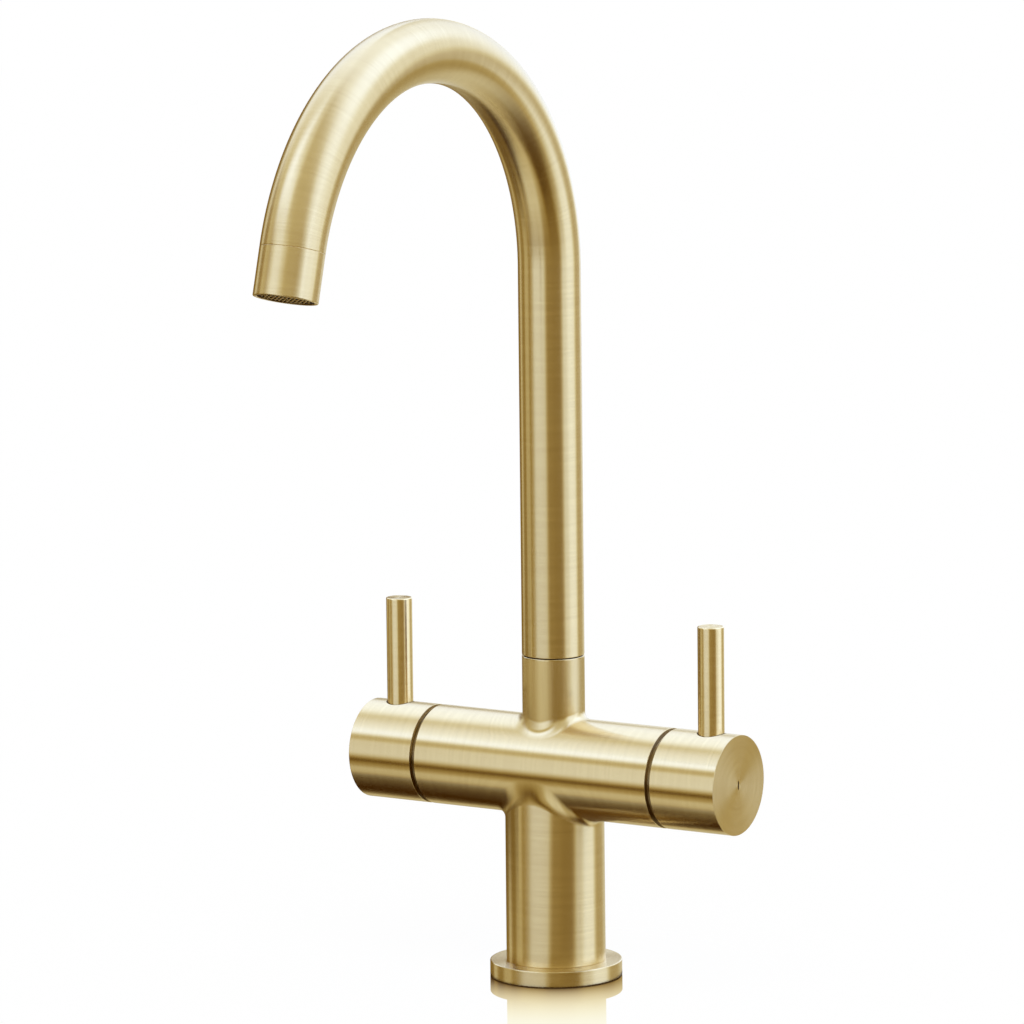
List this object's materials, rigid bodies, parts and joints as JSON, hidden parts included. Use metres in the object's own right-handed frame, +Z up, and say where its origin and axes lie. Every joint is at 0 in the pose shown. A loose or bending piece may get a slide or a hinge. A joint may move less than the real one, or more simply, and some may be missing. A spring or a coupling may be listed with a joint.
{
  "type": "swan neck tap",
  "caption": "Two-lever monobloc kitchen mixer tap: round foot and column, crossbar body with an upright lever on each end cap, tall swivelling swan neck spout.",
  "frame": {"origin": "centre of the foot, in the plane of the deck that the flange stands on", "axes": "+Z up along the column, +X to the right handle, -Y to the front, where the spout points at rest"},
  "size_m": [0.1704, 0.2251, 0.391],
  "materials": {
    "brushed_gold": "satin",
    "plain_brass": "satin",
    "stainless_steel": "satin",
    "black_rubber": "matte",
    "red_fibre": "matte",
    "white_ceramic": "satin",
    "natural_plastic": "matte",
    "dark_plastic": "matte"
  },
  "bodies": {
    "base": {"base_flange": "brushed_gold", "base_seal": "black_rubber", "mixer_body": "brushed_gold", "inlet_block": "plain_brass", "spout_retaining_screw": "stainless_steel", "spout_slip_ring": "dark_plastic", "left_valve_gland": "plain_brass", "left_gland_washer": "red_fibre", "left_seat_washer": "black_rubber", "left_fixed_disc": "white_ceramic", "left_handle_guide_ring": "natural_plastic", "right_valve_gland": "plain_brass", "right_gland_washer": "red_fibre", "right_seat_washer": "black_rubber", "right_fixed_disc": "white_ceramic", "right_handle_guide_ring": "natural_plastic"},
    "left_handle": {"left_handle_cap": "brushed_gold", "left_lever": "brushed_gold", "left_spline_insert": "plain_brass", "left_handle_screw": "stainless_steel", "left_valve_spindle": "plain_brass", "left_spindle_o_rings": "black_rubber", "left_spindle_clip": "stainless_steel", "left_moving_disc": "white_ceramic"},
    "right_handle": {"right_handle_cap": "brushed_gold", "right_lever": "brushed_gold", "right_spline_insert": "plain_brass", "right_handle_screw": "stainless_steel", "right_valve_spindle": "plain_brass", "right_spindle_o_rings": "black_rubber", "right_spindle_clip": "stainless_steel", "right_moving_disc": "white_ceramic"},
    "spout": {"swan_neck_tube": "brushed_gold", "spout_spigot": "plain_brass", "spout_o_rings": "black_rubber", "outlet_nipple": "plain_brass", "aerator_collar": "brushed_gold", "aerator_washer": "black_rubber", "aerator_housing": "dark_plastic", "aerator_screen": "plain_brass"}
  },
  "joints": [
    {"name": "spout_swivel", "type": "hinge", "parent": "base", "child": "spout", "pos_m": [0, 0, 0.13], "axis": [0, 0, 1], "continuous": true},
    {"name": "left_handle_turn", "type": "hinge", "parent": "base", "child": "left_handle", "pos_m": [-0.0562, 0, 0.085], "axis": [1, 0, 0], "range_deg": [0, 90]},
    {"name": "right_handle_turn", "type": "hinge", "parent": "base", "child": "right_handle", "pos_m": [0.0562, 0, 0.085], "axis": [1, 0, 0], "range_deg": [0, 90]}
  ]
}
